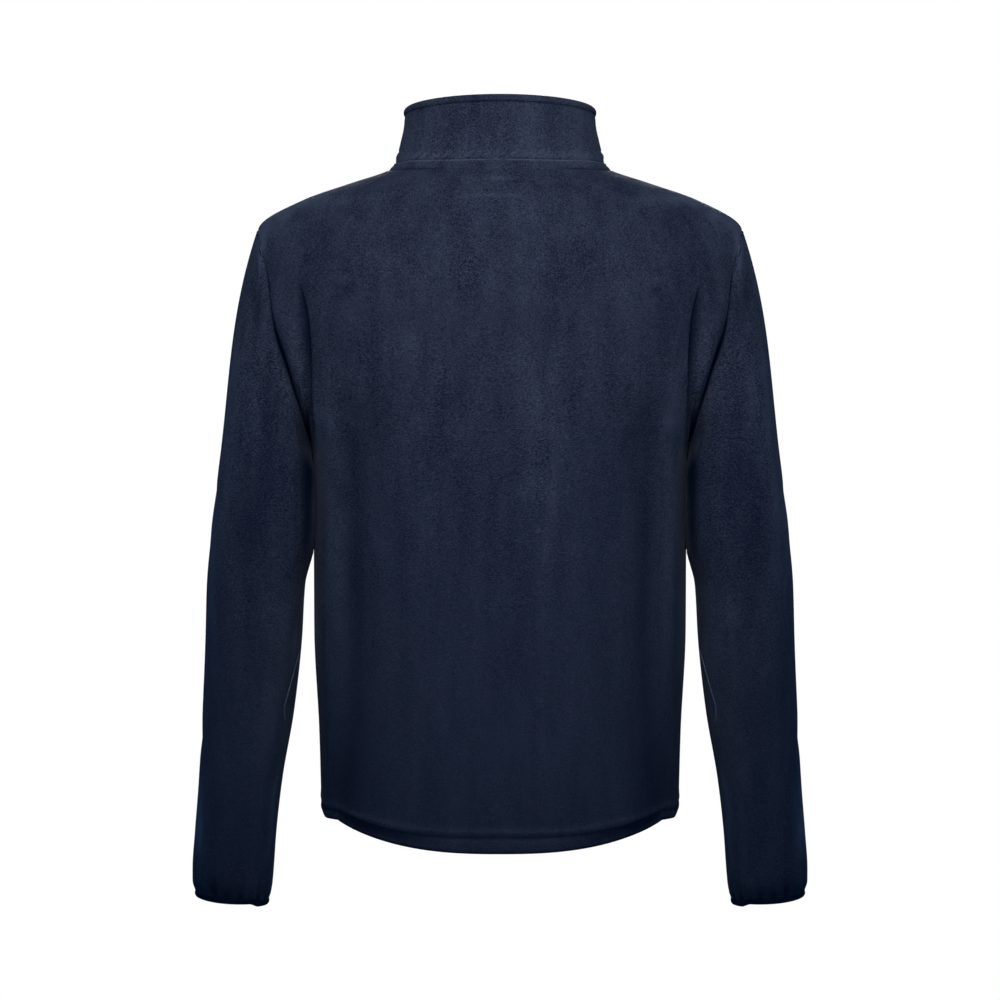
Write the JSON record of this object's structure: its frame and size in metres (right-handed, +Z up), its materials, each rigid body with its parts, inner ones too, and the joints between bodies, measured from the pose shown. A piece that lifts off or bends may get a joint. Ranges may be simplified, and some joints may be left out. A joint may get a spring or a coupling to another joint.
{
  "type": "fleece pullover",
  "caption": "Navy fleece pullover with a stand collar, long sleeves with elastic-bound cuffs and a dipped turned-up hem, in its worn hollow form.",
  "frame": {"origin": "middle of the neck, level with the neck points where the shoulder seams meet the collar; the wearer's neck and shoulders carry the garment there", "axes": "+Z up, +Y the way the wearer faces, +X to the wearer's right; the back panel faces -Y"},
  "size_m": [0.6184, 0.288, 0.8027],
  "materials": {
    "navy_fleece": "short brushed polyester pile, matt with a soft sheen",
    "elastic_binding": "narrow stretch binding, smooth and matt"
  },
  "bodies": {
    "root": {"back_panel": "navy_fleece", "front_panel": "navy_fleece", "sleeve_left": "navy_fleece", "sleeve_right": "navy_fleece", "collar": "navy_fleece", "collar_binding": "navy_fleece", "cuff_binding_left": "elastic_binding", "cuff_binding_right": "elastic_binding"}
  },
  "joints": []
}
